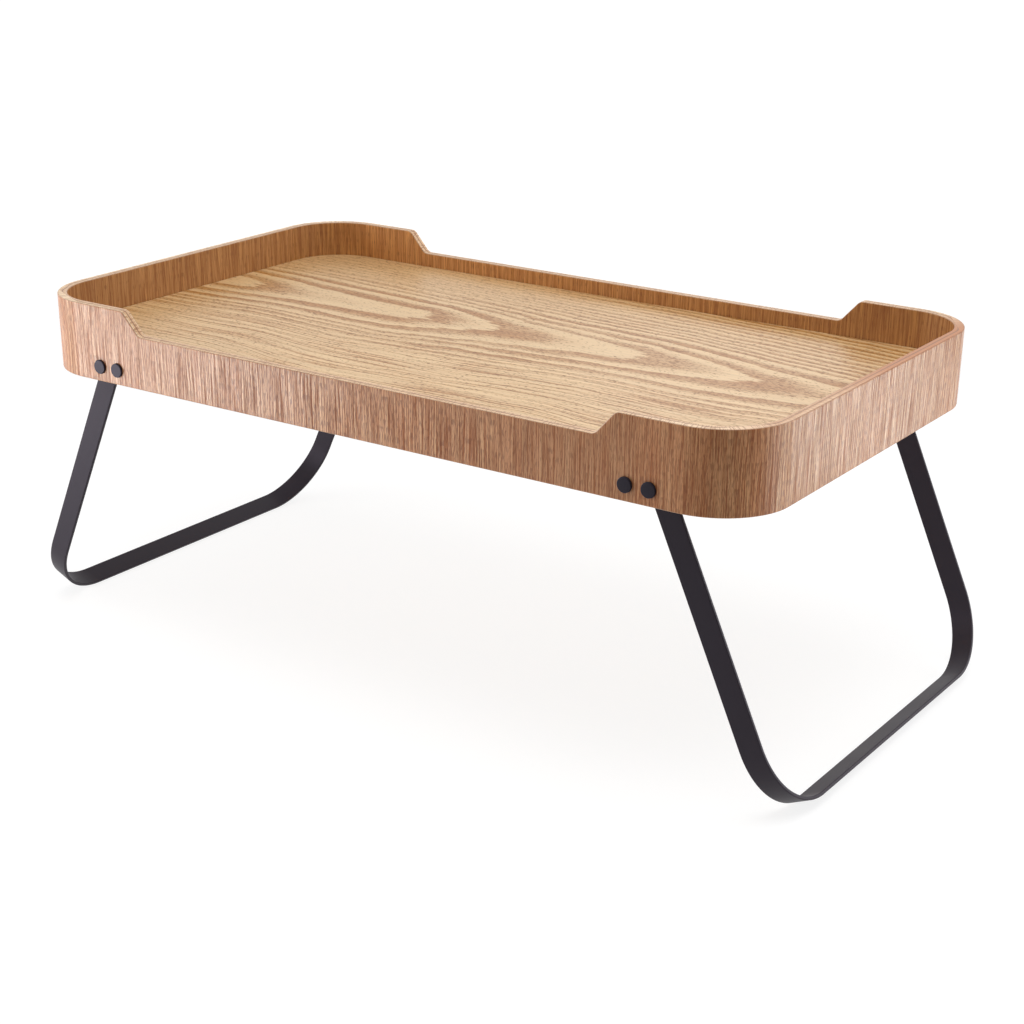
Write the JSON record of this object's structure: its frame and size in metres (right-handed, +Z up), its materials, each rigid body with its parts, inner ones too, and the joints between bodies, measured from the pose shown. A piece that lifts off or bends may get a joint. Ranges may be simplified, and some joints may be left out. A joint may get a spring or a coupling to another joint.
{
  "type": "bed tray table",
  "caption": "Bed tray table: a bent-plywood rim, lowered on its long sides, round a veneered panel, on two U-shaped strap legs that fold up inside it.",
  "frame": {"origin": "on the floor under the middle of the tray, with the legs open", "axes": "+X along the tray's length, +Z up; -Y is the front, the side that faces the viewer"},
  "size_m": [0.6432, 0.3372, 0.245],
  "materials": {
    "rim_plywood": "satin lacquered bent plywood, vertical grain",
    "panel_veneer": "satin lacquered pale ash veneer",
    "leg_strap": "satin black powder coat",
    "bracket_steel": "satin black powder coat",
    "black_bolt": "satin black",
    "nylon": "natural nylon",
    "spring_steel": "bare spring steel"
  },
  "bodies": {
    "tray": {"rim_band": "rim_plywood", "tray_panel": "panel_veneer", "front_right_hinge_bracket": "bracket_steel", "front_right_pivot_barrel": "black_bolt", "front_right_pivot_screw": "black_bolt", "front_right_pivot_washer": "nylon", "front_right_spring_washer": "spring_steel", "front_right_fixing_barrel": "black_bolt", "front_right_fixing_screw": "black_bolt", "back_right_hinge_bracket": "bracket_steel", "back_right_pivot_barrel": "black_bolt", "back_right_pivot_screw": "black_bolt", "back_right_pivot_washer": "nylon", "back_right_spring_washer": "spring_steel", "back_right_fixing_barrel": "black_bolt", "back_right_fixing_screw": "black_bolt", "front_left_hinge_bracket": "bracket_steel", "front_left_pivot_barrel": "black_bolt", "front_left_pivot_screw": "black_bolt", "front_left_pivot_washer": "nylon", "front_left_spring_washer": "spring_steel", "front_left_fixing_barrel": "black_bolt", "front_left_fixing_screw": "black_bolt", "back_left_hinge_bracket": "bracket_steel", "back_left_pivot_barrel": "black_bolt", "back_left_pivot_screw": "black_bolt", "back_left_pivot_washer": "nylon", "back_left_spring_washer": "spring_steel", "back_left_fixing_barrel": "black_bolt", "back_left_fixing_screw": "black_bolt"},
    "left_leg": {"left_leg": "leg_strap"},
    "right_leg": {"right_leg": "leg_strap"}
  },
  "joints": [
    {"name": "left_leg_fold", "type": "hinge", "parent": "tray", "child": "left_leg", "pos_m": [-0.223, 0, 0.2021], "axis": [0, -1, 0], "range_deg": [0, 114.7]},
    {"name": "right_leg_fold", "type": "hinge", "parent": "tray", "child": "right_leg", "pos_m": [0.223, 0, 0.2021], "axis": [0, 1, 0], "range_deg": [0, 114.7]}
  ]
}
